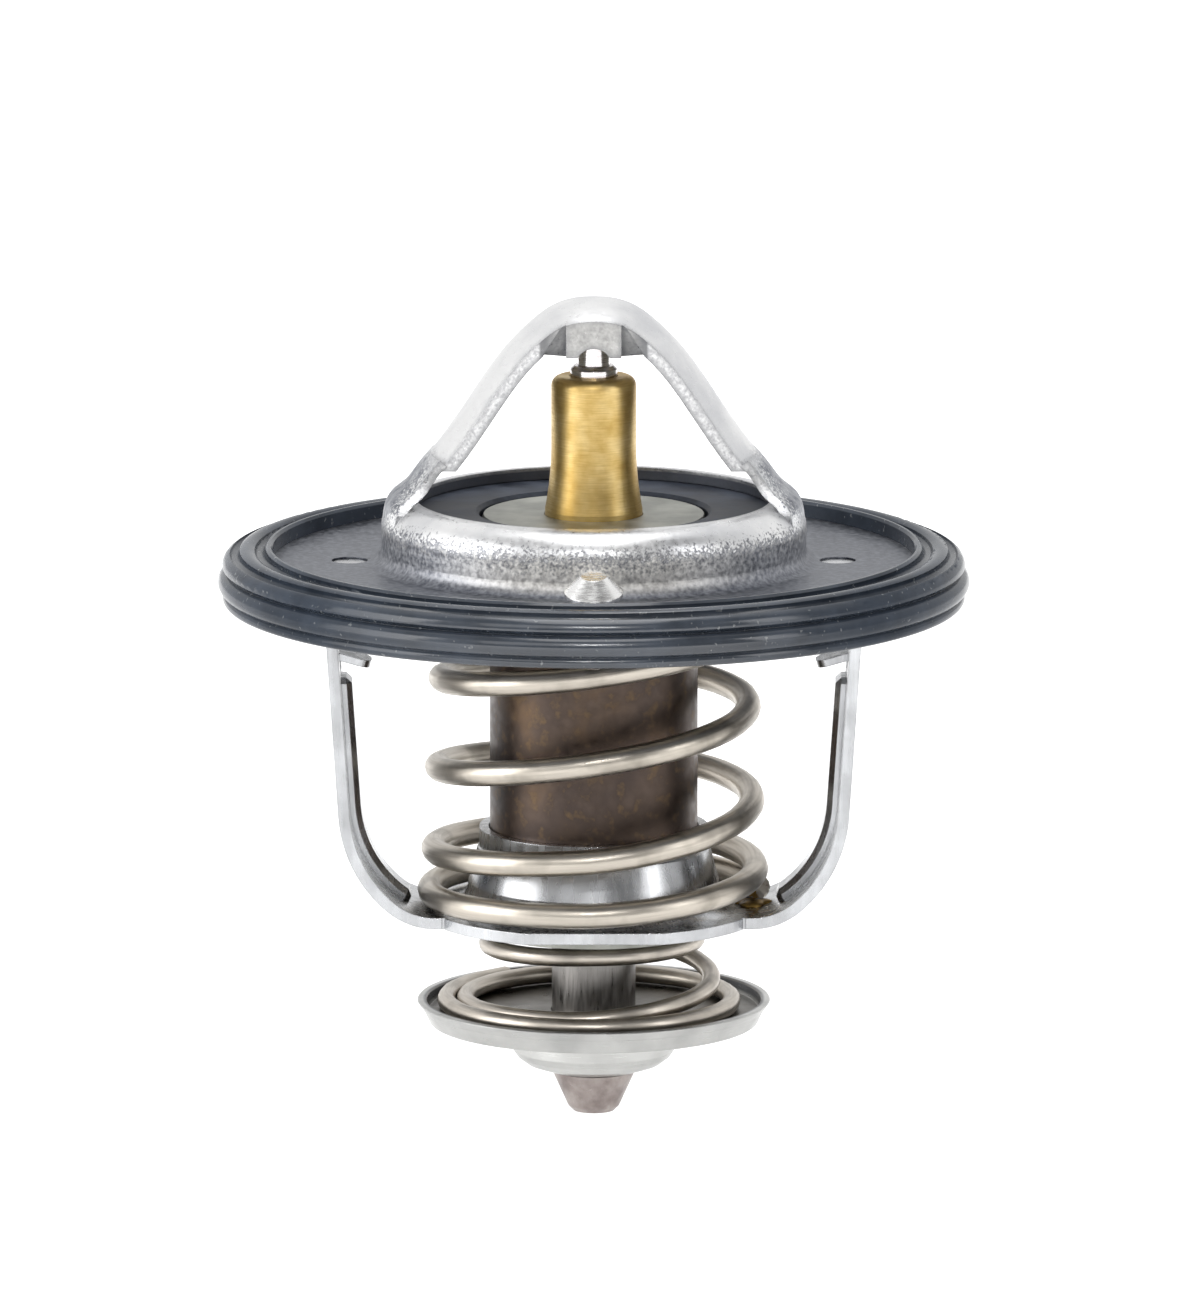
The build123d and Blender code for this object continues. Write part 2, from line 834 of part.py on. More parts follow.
# Wax element
def wax_case():
    """A drawn cup with its mouth rolled in over the guide's flange."""
    lip_bore = case_bore - case_lip_reach
    socket = stem_radius + stem_fit
    floor_bottom = case_bottom + stem_socket
    corner = case_corner * (1 - diagonal)
    return turned(
        (
            (0, floor_bottom),
            (socket, floor_bottom),
            (socket, case_bottom),
            (case_radius - case_corner, case_bottom),
            (case_radius - corner, case_bottom + corner),
            (case_radius, case_bottom + case_corner),
            (case_radius, case_top - case_lip),
            (case_radius - case_lip, case_top),
            (lip_bore, case_top),
            (lip_bore, guide_flange_top),
            (case_bore, guide_flange_top),
            (case_bore, case_floor_top),
            (0, case_floor_top),
        )
    )


def guide():
    """The brass guide: a turned neck above, a flange in the cup and a tail in the boot."""
    bore = piston_radius + piston_clearance
    edge = guide_edge
    lip = case_bore - case_lip_reach - guide_clearance
    flare_end = valve_inner_top + edge / 2
    with BuildPart() as part:
        with BuildSketch(Plane.XZ):
            with BuildLine():
                Polyline((bore, guide_top), (guide_radius - edge, guide_top))
                ThreePointArc(
                    (guide_radius - edge, guide_top),
                    (guide_radius - edge * (1 - diagonal), guide_top - edge * (1 - diagonal)),
                    (guide_radius, guide_top - edge),
                )
                Line((guide_radius, guide_top - edge), (guide_radius, guide_flare_start))
                ThreePointArc(
                    (guide_radius, guide_flare_start),
                    (
                        guide_radius + (guide_flare_radius - guide_radius) / 4,
                        (guide_flare_start + flare_end) / 2,
                    ),
                    (guide_flare_radius, flare_end),
                )
                Polyline(
                    (guide_flare_radius, flare_end),
                    (guide_flare_radius, case_top),
                    (lip, case_top),
                    (lip, guide_flange_top),
                    (guide_flange_radius, guide_flange_top),
                    (guide_flange_radius, guide_flange_bottom),
                    (guide_tail_radius, guide_flange_bottom),
                    (guide_tail_radius, guide_tail_bottom + guide_tail_edge),
                    (guide_tail_radius - guide_tail_edge, guide_tail_bottom),
                    (fluid_mouth, guide_tail_bottom),
                    (bore, plug_bottom - fluid_throat),
                    (bore, guide_top),
                )
            make_face()
        revolve(axis=Axis.Z)
    return part.part


def piston():
    """The steel pin that pushes up against the nose, stepped at its tip."""
    shoulder = piston_shoulder
    return turned(
        (
            (0, piston_bottom),
            (piston_radius - piston_chamfer, piston_bottom),
            (piston_radius, piston_bottom + piston_chamfer),
            (piston_radius, shoulder - piston_chamfer),
            (piston_radius - piston_chamfer, shoulder),
            (piston_tip_radius, shoulder),
            (piston_tip_radius, nose_pocket_top - piston_chamfer),
            (piston_tip_radius - piston_chamfer, nose_pocket_top - fill_clearance),
            (0, nose_pocket_top - fill_clearance),
        )
    )


def boot():
    """The rubber boot clamped under the guide's flange and closed below its tail."""
    gap = fill_clearance
    tail = guide_tail_radius + gap
    return turned(
        (
            (tail, guide_flange_bottom),
            (guide_flange_radius, guide_flange_bottom),
            (guide_flange_radius, guide_flange_bottom - boot_wall),
            (boot_radius, guide_flange_bottom - boot_wall),
            (boot_radius, boot_bottom + boot_edge),
            (boot_radius - boot_edge, boot_bottom),
            (0, boot_bottom - boot_sag),
            (0, boot_bottom + boot_wall - boot_sag),
            (tail - guide_tail_edge, boot_bottom + boot_wall),
            (tail, guide_tail_bottom + guide_tail_edge - gap),
        )
    )


def semi_fluid():
    """The soft fill that carries the boot's push up to the rubber plug."""
    gap = fill_clearance
    bore = piston_radius + piston_clearance - gap
    return turned(
        (
            (0, boot_bottom + boot_wall - boot_sag + gap),
            (fluid_mouth, boot_bottom + boot_wall + gap),
            (fluid_mouth - gap, guide_tail_bottom + gap),
            (bore, plug_bottom - fluid_throat),
            (bore, plug_bottom - gap),
            (0, plug_bottom - gap),
        )
    )


def wax_charge():
    """The wax and copper powder that fill the cup round the boot."""
    gap = fill_clearance
    return turned(
        (
            (0, case_floor_top),
            (case_bore - gap, case_floor_top),
            (case_bore - gap, guide_flange_bottom - boot_wall - gap),
            (boot_radius + gap, guide_flange_bottom - boot_wall - gap),
            (boot_radius + gap, boot_bottom + boot_edge - gap),
            (boot_radius - boot_edge, boot_bottom - 2 * gap),
            (0, boot_bottom - boot_sag - gap),
        )
    )


# Main valve
def valve_disc():
    """A pressed steel disc, dropped outside its step to carry the rubber."""
    hole = guide_flare_radius + guide_clearance
    step = valve_step_radius
    under_step = step - valve_sheet / 2
    return turned(
        (
            (hole, case_top),
            (hole, valve_inner_top),
            (step, valve_inner_top),
            (step + face_inset, valve_outer_top),
            (valve_radius, valve_outer_top),
            (valve_radius, valve_outer_bottom),
            (under_step, valve_outer_bottom),
            (under_step, case_top),
        )
    )


def valve_face():
    """The rubber ring bonded over the disc's edge, which closes on the collar's rim."""
    inner = valve_step_radius + face_inset + seal_gap
    bottom = valve_outer_bottom - face_skirt
    wrap = valve_wrap_radius
    return turned(
        (
            (inner, valve_outer_top),
            (inner, face_top - face_inset),
            (inner + face_inset, face_top),
            (face_radius - face_shoulder, face_top),
            (face_radius - face_inset, face_top - face_round),
            (face_radius, rim_top - shoulder_bend),
            (face_radius, bottom + face_inset),
            (face_radius - face_inset, bottom),
            (wrap, bottom),
            (wrap, valve_outer_bottom),
            (valve_radius, valve_outer_bottom),
            (valve_radius, valve_outer_top),
        )
    )


def spring_seat():
    """A flat ring with a turned-down inner edge, which centres the main spring."""
    inner = seat_ring_inner
    sheet = seat_ring_sheet
    lip = seat_ring_bottom - seat_ring_lip
    return turned(
        (
            (inner, valve_outer_bottom),
            (seat_ring_outer, valve_outer_bottom),
            (seat_ring_outer, seat_ring_bottom),
            (inner + sheet, seat_ring_bottom),
            (inner + sheet * diagonal, lip),
            (inner, lip),
        )
    )


# Springs
def along(table, turn):
    """The value at a turn, between the two nearest entries of a table."""
    for (low, low_value), (high, high_value) in zip(table, table[1:]):
        if turn <= high:
            return low_value + (high_value - low_value) * (turn - low) / (high - low)
    return table[-1][1]


def coil(wire, heights, radii, bottom, first_angle, tilt=0.0):
    """A round wire wound right-handed up from its dead end, leaning by a little tilt."""
    turns = heights[-1][0]
    steps = round(turns * spring_points_per_turn)
    points = []
    for step in range(steps + 1):
        turn = turns * step / steps
        angle = math.radians(first_angle) + 2 * math.pi * turn
        radius = along(radii, turn)
        rise = along(heights, turn)
        leaning = math.sin(math.pi * rise / heights[-1][1])
        points.append(
            (
                radius * math.cos(angle),
                radius * math.sin(angle),
                bottom + rise + tilt * leaning * math.cos(angle),
            )
        )
    path = Spline(*points)
    start = Plane(path @ 0, z_dir=path % 0)
    return sweep(start * Circle(wire / 2), path=path, transition=Transition.RIGHT)


def main_spring():
    first = plate_top + main_wire / 2 + spring_rest_gap
    last = seat_ring_bottom - main_wire / 2 - spring_rest_gap
    stretch = (last - first) / main_heights[-1][1]
    heights = tuple((turn, rise * stretch) for turn, rise in main_heights)
    radii = ((0.0, main_coil_bottom), (heights[-1][0], main_coil_top))
    return coil(main_wire, heights, radii, first, main_first_angle, main_side_rise)


def bypass_spring():
    first = dish_floor + bypass_wire / 2 + spring_rest_gap
    last = bypass_seat_bottom - bypass_wire / 2 - spring_rest_gap
    stretch = (last - first) / bypass_heights[-1][1]
    heights = tuple((turn, rise * stretch) for turn, rise in bypass_heights)
    return coil(bypass_wire, heights, bypass_radii, first, bypass_first_angle)


# Bypass valve and its stem
def bypass_stem():
    """The rod set in the cup's floor, grooved for the clip and tapered at its end."""
    groove = stem_radius - clip_depth
    edge = stem_end_edge
    return turned(
        (
            (0, case_bottom + stem_socket),
            (stem_radius, case_bottom + stem_socket),
            (stem_radius, clip_groove_top),
            (groove, clip_groove_top),
            (groove, clip_groove_bottom),
            (stem_radius, clip_groove_bottom),
            (stem_end_radius, stem_bottom + edge),
            (stem_end_radius - edge, stem_bottom),
            (0, stem_bottom),
        )
    )


def bypass_seat():
    """The washer under the cup against which the bypass spring pushes."""
    hole = stem_radius + bypass_seat_clearance
    return turned(
        (
            (hole, case_bottom),
            (bypass_seat_radius, case_bottom),
            (bypass_seat_radius, bypass_seat_bottom),
            (hole, bypass_seat_bottom),
        )
    )


def bypass_valve():
    """The turned dish with its hub, free to slide up the stem against its spring."""
    bore = stem_radius + dish_slide_clearance
    rim = dish_radius
    foot = rim - dish_rim_taper
    line = dish_line_depth
    line_height = dish_rim_top - dish_rim_line
    line_radius = rim - dish_rim_taper * dish_rim_line / (dish_rim_top - dish_rim_bottom)
    hub = dish_hub_radius
    under = dish_floor - dish_sheet
    turn = dish_hub_round
    recess = clip_centre_radius + clip_wire / 2 + clip_clearance
    return turned(
        (
            (bore, dish_floor),
            (rim - dish_rim_width - 2 * line, dish_floor),
            (rim - dish_rim_width, dish_rim_top - line),
            (rim - dish_rim_width + line, dish_rim_top),
            (rim - line, dish_rim_top),
            (rim, dish_rim_top - line),
            (line_radius, line_height + line),
            (line_radius - line, line_height),
            (foot, dish_rim_bottom + line),
            (foot - line, dish_rim_bottom),
            (hub + turn, under - line),
            (hub, under - turn),
            (hub, dish_hub_shoulder),
            (hub - turn / 3, dish_hub_shoulder - turn / 2),
            (hub - turn, dish_hub_shoulder - turn),
            (dish_hub_foot_radius, dish_hub_bottom),
            (recess, dish_hub_bottom),
            (recess, clip_recess_top),
            (bore, clip_recess_top),
        )
    )


def clip():
    """A split wire ring in the stem's groove, which holds the bypass valve up."""
    path = CenterArc((0, 0, clip_height), clip_centre_radius, clip_gap - 90, 360 - clip_gap)
    start = Plane(path @ 0, z_dir=path % 0)
    return sweep(start * Circle(clip_wire / 2), path=path)


# Jiggle pin
def lean_pin(shape):
    """Set a piece of the pin in its place, leaning in the hole."""
    return Pos(0, -pin_place_radius, flange_top + pin_lift) * Rot(pin_lean, 0, 0) * shape


def jiggle_pin():
    tail_end = pin_weight_grip / 2 - pin_tail
    return lean_pin(
        turned(
            (
                (0, tail_end),
                (pin_shank_radius, tail_end),
                (pin_shank_radius, -pin_head_edge),
                (pin_head_radius - pin_head_edge, 0),
                (pin_head_radius, 0),
                (pin_head_radius, pin_head_edge),
                (pin_flat_radius, pin_head_edge + pin_head_height),
                (0, pin_head_edge + pin_head_height),
            )
        )
    )


def jiggle_weight():
    ball = Pos(0, 0, -pin_tail) * Sphere(pin_weight_radius)
    tail_end = pin_weight_grip / 2 - pin_tail
    bore = post(pin_shank_radius + pin_weight_clearance, tail_end - pin_weight_clearance, 0)
    return lean_pin(ball - bore)


os.makedirs("parts", exist_ok=True)
save(upper_frame(), "upper_frame")
save(gasket(), "gasket")
save(lower_frame(), "lower_frame")
save(jiggle_pin(), "jiggle_pin")
save(jiggle_weight(), "jiggle_weight")
save(piston(), "piston")
save(
    post(piston_radius, piston_bottom - backup_thickness, piston_bottom - fill_clearance),
    "backup_washer",
)
save(
    post(piston_radius, plug_bottom, piston_bottom - backup_thickness - fill_clearance),
    "rubber_plug",
)
save(guide(), "guide")
save(wax_case(), "wax_case")
save(boot(), "rubber_boot")
save(semi_fluid(), "semi_fluid")
save(wax_charge(), "wax_charge")
save(valve_disc(), "valve_disc")
save(valve_face(), "valve_face")
save(spring_seat(), "spring_seat")
save(main_spring(), "main_spring")
save(bypass_stem(), "bypass_stem")
save(bypass_seat(), "bypass_seat")
save(bypass_valve(), "bypass_valve")
save(bypass_spring(), "bypass_spring")
save(clip(), "retaining_clip")
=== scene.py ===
import math

import bpy
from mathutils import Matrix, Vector


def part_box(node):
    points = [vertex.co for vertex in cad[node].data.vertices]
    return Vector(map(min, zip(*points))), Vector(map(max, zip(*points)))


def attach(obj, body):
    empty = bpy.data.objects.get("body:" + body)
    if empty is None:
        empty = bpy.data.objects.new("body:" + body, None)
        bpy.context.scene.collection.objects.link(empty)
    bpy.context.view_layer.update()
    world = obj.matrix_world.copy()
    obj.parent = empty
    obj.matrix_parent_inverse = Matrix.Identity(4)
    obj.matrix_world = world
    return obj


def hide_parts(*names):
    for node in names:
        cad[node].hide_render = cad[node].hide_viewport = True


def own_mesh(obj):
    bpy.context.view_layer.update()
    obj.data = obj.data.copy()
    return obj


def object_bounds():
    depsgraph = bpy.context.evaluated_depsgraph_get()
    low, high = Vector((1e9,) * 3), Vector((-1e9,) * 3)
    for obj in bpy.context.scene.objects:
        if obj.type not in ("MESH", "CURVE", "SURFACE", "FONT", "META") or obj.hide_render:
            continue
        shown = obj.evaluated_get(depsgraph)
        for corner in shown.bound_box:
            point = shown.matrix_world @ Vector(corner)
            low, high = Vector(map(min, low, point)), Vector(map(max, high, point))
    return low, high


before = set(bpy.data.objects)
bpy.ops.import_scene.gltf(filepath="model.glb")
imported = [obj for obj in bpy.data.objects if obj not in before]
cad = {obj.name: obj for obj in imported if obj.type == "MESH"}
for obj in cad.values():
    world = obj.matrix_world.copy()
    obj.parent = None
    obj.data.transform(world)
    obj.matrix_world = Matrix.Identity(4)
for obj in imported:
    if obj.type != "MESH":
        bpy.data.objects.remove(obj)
cad_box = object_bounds()


# The upper frame is one steel pressing: flange, drawn collar with rolled rim, and bridge.
# It is plated and tumbled. Its colour holds painted light: the flange and the collar's wall are
# painted dark and grainy as painted shade, and the shoulder and bridge painted bright as a
# painted highlight. The bridge's sheared edges are a darker speckled grey.
millimetre = 0.001


def new_finish(name, colour, metallic, roughness):
    """A finish with one shader, and its tree to build on. Patterns go over the plain values."""
    finish = bpy.data.materials.new(name)
    finish.use_nodes = True
    shader = finish.node_tree.nodes["Principled BSDF"]
    shader.inputs["Base Color"].default_value = (*colour, 1)
    shader.inputs["Metallic"].default_value = metallic
    shader.inputs["Roughness"].default_value = roughness
    return finish, finish.node_tree, shader


def on_object(tree, stretch=(1, 1, 1)):
    """Places on the piece in its own metres. Over 1 on an axis packs a pattern closer along it."""
    place = tree.nodes.new("ShaderNodeTexCoord")
    mapping = tree.nodes.new("ShaderNodeMapping")
    mapping.inputs["Scale"].default_value = stretch
    tree.links.new(place.outputs["Object"], mapping.inputs["Vector"])
    return mapping.outputs["Vector"]


def grain(tree, where, spots, detail):
    """Noise with so many spots to the metre, nearly all of it from 0.3 to 0.7."""
    texture = tree.nodes.new("ShaderNodeTexNoise")
    texture.inputs["Scale"].default_value = spots
    texture.inputs["Detail"].default_value = detail
    tree.links.new(where, texture.inputs["Vector"])
    return texture.outputs["Fac"]


def combined(tree, operation, first, second):
    """Two values, or a value and a number, put together by one operation."""
    node = tree.nodes.new("ShaderNodeMath")
    node.operation = operation
    for socket, value in zip(node.inputs, (first, second)):
        if isinstance(value, (int, float)):
            socket.default_value = value
        else:
            tree.links.new(value, socket)
    return node.outputs["Value"]


def between(tree, value, low, high, start=0.3, end=0.7):
    """A value made to run from low to high while it goes from start to end, as noise does."""
    node = tree.nodes.new("ShaderNodeMapRange")
    node.inputs["From Min"].default_value = start
    node.inputs["From Max"].default_value = end
    node.inputs["To Min"].default_value = low
    node.inputs["To Max"].default_value = high
    tree.links.new(value, node.inputs["Value"])
    return node.outputs["Result"]


def above(tree, value, band):
    """0 below a band of values and 1 above it."""
    return between(tree, value, 0.0, 1.0, *band)


def below(tree, value, band):
    """1 below a band of values and 0 above it."""
    return between(tree, value, 1.0, 0.0, *band)


def both(tree, first, second):
    """The share where two shares hold together."""
    return combined(tree, "MULTIPLY", first, second)


def apart_from(tree, share):
    """The share that another share leaves."""
    return combined(tree, "SUBTRACT", 1.0, share)


def tints(tree, value, stops):
    """Colours along a value, from (place, colour) stops."""
    node = tree.nodes.new("ShaderNodeValToRGB")
    elements = node.color_ramp.elements
    while len(elements) < len(stops):
        elements.new(0.5)
    for element, (place, colour) in zip(elements, stops):
        element.position = place
        element.color = (*colour, 1)
    tree.links.new(value, node.inputs["Fac"])
    return node.outputs["Color"]


def blended(tree, share, under, over):
    """One colour laid over another where the share is 1."""
    node = tree.nodes.new("ShaderNodeMix")
    node.data_type = "RGBA"
    tree.links.new(share, node.inputs["Factor"])
    for socket, colour in ((node.inputs["A"], under), (node.inputs["B"], over)):
        if isinstance(colour, tuple):
            socket.default_value = (*colour, 1)
        else:
            tree.links.new(colour, socket)
    return node.outputs["Result"]


def along_axis(tree, axis, of="Object"):
    """A place's coordinate, or a face's normal, along one axis."""
    place = tree.nodes.new("ShaderNodeTexCoord")
    axes = tree.nodes.new("ShaderNodeSeparateXYZ")
    tree.links.new(place.outputs[of], axes.inputs["Vector"])
    return axes.outputs[axis]


def height_of(tree):
    """The height above the gasket's lower face, in millimetres."""
    return combined(tree, "MULTIPLY", along_axis(tree, "Z"), 1 / millimetre)


def side_reach_of(tree):
    """The distance to the side of the axis, in millimetres, the same left and right."""
    sideways = combined(tree, "MULTIPLY", along_axis(tree, "X"), 1 / millimetre)
    return combined(tree, "ABSOLUTE", sideways, 0.0)


def radius_of(tree):
    """The distance from the axis, in millimetres."""
    place = tree.nodes.new("ShaderNodeTexCoord")
    flat = tree.nodes.new("ShaderNodeVectorMath")
    flat.operation = "MULTIPLY"
    flat.inputs[1].default_value = (1 / millimetre, 1 / millimetre, 0)
    length = tree.nodes.new("ShaderNodeVectorMath")
    length.operation = "LENGTH"
    tree.links.new(place.outputs["Object"], flat.inputs[0])
    tree.links.new(flat.outputs["Vector"], length.inputs[0])
    return length.outputs["Value"]


def facing_front_or_back(tree):
    """1 on faces square to the front-and-back axis, such as the strip's sheared edges."""
    turned_to = combined(tree, "ABSOLUTE", along_axis(tree, "Y", of="Normal"), 0.0)
    return above(tree, turned_to, (0.75, 0.92))


def near_edge(tree, radius):
    """1 close to a sharp edge or crease, and 0 on the open face. The radius is in millimetres."""
    face = tree.nodes.new("ShaderNodeNewGeometry")
    eased = tree.nodes.new("ShaderNodeBevel")
    eased.samples = 4
    eased.inputs["Radius"].default_value = radius * millimetre
    alike = tree.nodes.new("ShaderNodeVectorMath")
    alike.operation = "DOT_PRODUCT"
    tree.links.new(face.outputs["Normal"], alike.inputs[0])
    tree.links.new(eased.outputs["Normal"], alike.inputs[1])
    return below(tree, alike.outputs["Value"], (0.80, 0.97))


def coloured(tree, shader, tone):
    """The colour of the piece."""
    tree.links.new(tone, shader.inputs["Base Color"])


def relief(tree, shader, pattern, strength, depth, edge=0.0):
    """Relief from a pattern, over edges that are eased. Depth and edge are in millimetres."""
    node = tree.nodes.new("ShaderNodeBump")
    node.inputs["Strength"].default_value = strength
    node.inputs["Distance"].default_value = depth * millimetre
    tree.links.new(pattern, node.inputs["Height"])
    if edge:
        eased = tree.nodes.new("ShaderNodeBevel")
        eased.samples = 4
        eased.inputs["Radius"].default_value = edge * millimetre
        tree.links.new(eased.outputs["Normal"], node.inputs["Normal"])
    tree.links.new(node.outputs["Normal"], shader.inputs["Normal"])


def paint(node, finish):
    """Give a piece that comes from the frame its finish."""
    mesh = cad[node].data
    mesh.materials.clear()
    mesh.materials.append(finish)


# Heights and reaches, in millimetres, over which one tone gives way to the next. The bridge's
# arms lean in by the slope, and the outside of their feet gets the same dark painted shade as the
# flange.
wall_foot = (3.5, 4.4)
# Over this reach the wall's painted front light gives way to its painted side shade.
painted_front_light_reach = (5.0, 13.0)
# The band of heights that holds the painted shadow under the shoulder.
painted_shadow_band = (5.2, 6.5)
shoulder_line = (6.5, 7.1)
arm_foot_bottom = (5.0, 5.6)
arm_foot_top = (11.6, 12.6)
arm_foot_reach = (22.0, 22.5)
arm_slope = 0.8
bridge_cut_start = (8.5, 8.8)
nose_half_width = (4.2, 4.4)
nose_fold = (2.2, 3.9)
rim_radius = (14.45, 14.65)
rim_top = (8.1, 8.3)

painted_light_steel, tree, shader = new_finish(
    "plated_steel_painted_light", colour=(0.7, 0.7, 0.7), metallic=1.0, roughness=0.3,
)
where = on_object(tree)
clouds = grain(tree, where, spots=190, detail=5)
fine = grain(tree, where, spots=900, detail=4)
sand = grain(tree, where, spots=2600, detail=2)
speckle = grain(tree, where, spots=4200, detail=2)
height = height_of(tree)
reach = side_reach_of(tree)
ragged_height = combined(tree, "ADD", height, between(tree, speckle, -0.8, 0.8))
# Painted shade: the flange is painted dark, as the dark room it mirrors. Painted light: the collar's
# wall is painted brighter at the front than at its sides.
flange_painted_shade = tints(tree, sand, [(0.32, (0.085, 0.092, 0.112)), (0.70, (0.24, 0.25, 0.275))])
wall_painted_front_light = tints(tree, sand, [(0.32, (0.58, 0.565, 0.54)), (0.68, (0.95, 0.93, 0.89))])
wall_painted_side_shade = tints(tree, sand, [(0.32, (0.22, 0.23, 0.26)), (0.68, (0.52, 0.53, 0.56))])
# Painted shadow: a darker band painted on the wall just under the shoulder.
painted_shadow_under_shoulder = tints(
    tree, sand,
    [(0.32, (0.14, 0.145, 0.165)), (0.52, (0.25, 0.255, 0.27)), (0.70, (0.50, 0.495, 0.49))],
)
# Painted shade on the outside of the bridge arms' feet.
arm_foot_painted_shade = tints(tree, fine, [(0.34, (0.13, 0.138, 0.165)), (0.62, (0.34, 0.35, 0.375))])
# Painted highlight: the shoulder's and bridge's bright tone stands in for the overhead light they
# mirror.
painted_sheen_tone = tints(tree, clouds, [(0.36, (0.62, 0.625, 0.64)), (0.60, (0.80, 0.80, 0.80))])
sheared_tone = tints(tree, speckle, [(0.34, (0.46, 0.46, 0.47)), (0.60, (0.74, 0.74, 0.74))])
nose_spots = combined(tree, "MULTIPLY", combined(tree, "ADD", fine, speckle), 0.5)
# Painted shade: the bridge's nose is painted darker than the arms, with a further painted shade along
# its folds.
nose_painted_shade = tints(tree, nose_spots, [(0.36, (0.33, 0.327, 0.32)), (0.60, (0.48, 0.475, 0.465))])
fold_shade = (0.15, 0.152, 0.16)
rim_shade = (0.13, 0.14, 0.165)
edge_shade_tone = (0.16, 0.163, 0.175)

wall_painted_light = blended(tree, above(tree, reach, painted_front_light_reach), wall_painted_front_light, wall_painted_side_shade)
dull = blended(tree, above(tree, height, wall_foot), flange_painted_shade, wall_painted_light)
dull = blended(tree, above(tree, ragged_height, painted_shadow_band), dull, painted_shadow_under_shoulder)
outward = combined(tree, "ADD", reach, combined(tree, "MULTIPLY", ragged_height, arm_slope))
arm_foot = both(tree, above(tree, outward, arm_foot_reach), below(tree, ragged_height, arm_foot_top))
arm_foot = both(tree, arm_foot, above(tree, height, arm_foot_bottom))
dull = blended(tree, arm_foot, dull, arm_foot_painted_shade)
rim_inside = both(tree, below(tree, radius_of(tree), rim_radius), below(tree, height, rim_top))
dull = blended(tree, rim_inside, dull, rim_shade)

sheared = both(tree, facing_front_or_back(tree), above(tree, height, bridge_cut_start))
nose_face = both(tree, sheared, below(tree, reach, nose_half_width))
nose_painted_shade = blended(tree, between(tree, reach, 0.0, 0.8, *nose_fold), nose_painted_shade, fold_shade)
bright = blended(tree, sheared, painted_sheen_tone, sheared_tone)
bright = blended(tree, nose_face, bright, nose_painted_shade)
# Painted shade: a thin, broken dark line painted along the edges and in the creases.
edge_painted_shade = both(tree, near_edge(tree, 0.9), between(tree, speckle, 0.50, 0.95))
bright = blended(tree, edge_painted_shade, bright, edge_shade_tone)

# Above the shoulder line the painted highlight replaces the dark painted shade below it, and the
# roughness drops a little.
painted_bright_share = above(tree, ragged_height, shoulder_line)
painted_bright_share = both(tree, painted_bright_share, apart_from(tree, arm_foot))
painted_bright_share = both(tree, painted_bright_share, apart_from(tree, rim_inside))
coloured(tree, shader, blended(tree, painted_bright_share, dull, bright))
smoothed = combined(tree, "MULTIPLY", painted_bright_share, 0.12)
roughness = combined(tree, "SUBTRACT", between(tree, sand, 0.38, 0.54), smoothed)
tree.links.new(roughness, shader.inputs["Roughness"])
relief(tree, shader, combined(tree, "ADD", sand, fine), strength=0.3, depth=0.05, edge=0.10)
paint("upper_frame", painted_light_steel)


# The gasket is one rubber moulding stretched over the flange's edge. Its ribs catch the front
# strip's light, and their shine is painted stronger at the front and weaker at the sides. Its skin
# holds mould dust and fine lint. The element's boot and plug are of the same rubber.
def roughened(tree, shader, pattern, smoothest, roughest):
    """Roughness that follows a noise pattern."""
    tree.links.new(between(tree, pattern, smoothest, roughest), shader.inputs["Roughness"])


front_shine = 0.9
side_shine = 0.12
shine_fades = (9.0, 22.0)
lint_tone = (0.16, 0.17, 0.18)
rubber, tree, shader = new_finish(
    "moulded_rubber", colour=(0.030, 0.036, 0.043), metallic=0.0, roughness=0.4,
)
where = on_object(tree)
dust = grain(tree, where, spots=2300, detail=1)
bloom = grain(tree, where, spots=260, detail=4)
skin = tints(tree, bloom, [(0.35, (0.024, 0.031, 0.043)), (0.65, (0.042, 0.053, 0.072))])
coloured(tree, shader, blended(tree, above(tree, dust, (0.69, 0.78)), skin, lint_tone))
roughened(tree, shader, bloom, smoothest=0.13, roughest=0.24)
# Painted sheen: the rubber's shine is set strong at the front and weak at the sides.
shine = between(tree, side_reach_of(tree), front_shine, side_shine, *shine_fades)
tree.links.new(shine, shader.inputs["Specular IOR Level"])
relief(tree, shader, grain(tree, where, spots=1500, detail=3), strength=0.14, depth=0.04, edge=0.08)
for node in ("gasket", "rubber_boot", "rubber_plug"):
    paint(node, rubber)


# The stirrup is a strip of bright-plated steel, smoother than the upper frame, with its
# feet clinched into the flange. Its faces mirror the dark spring. Its legs' edges and creases
# get a little painted shade, and its plate's get none.
legs_start = (-23.0, -21.0)
edge_shade_tone = (0.15, 0.15, 0.16)
plated_steel, tree, shader = new_finish(
    "smooth_plated_steel", colour=(0.78, 0.78, 0.78), metallic=1.0, roughness=0.2,
)
where = on_object(tree)
drawn = grain(tree, on_object(tree, stretch=(1, 1, 0.08)), spots=1500, detail=3)
clouds = grain(tree, where, spots=240, detail=4)
plated = tints(tree, clouds, [(0.35, (0.40, 0.405, 0.415)), (0.62, (0.55, 0.56, 0.575))])
grime_spots = grain(tree, where, spots=1800, detail=3)
# Painted shade along the legs' edges and creases.
edge_painted_shade = both(tree, near_edge(tree, 0.18), between(tree, grime_spots, 0.1, 0.7))
edge_painted_shade = both(tree, edge_painted_shade, above(tree, height_of(tree), legs_start))
coloured(tree, shader, blended(tree, edge_painted_shade, plated, edge_shade_tone))
roughened(tree, shader, drawn, smoothest=0.20, roughest=0.34)
relief(tree, shader, combined(tree, "ADD", drawn, clouds), strength=0.06, depth=0.03, edge=0.10)
paint("lower_frame", plated_steel)


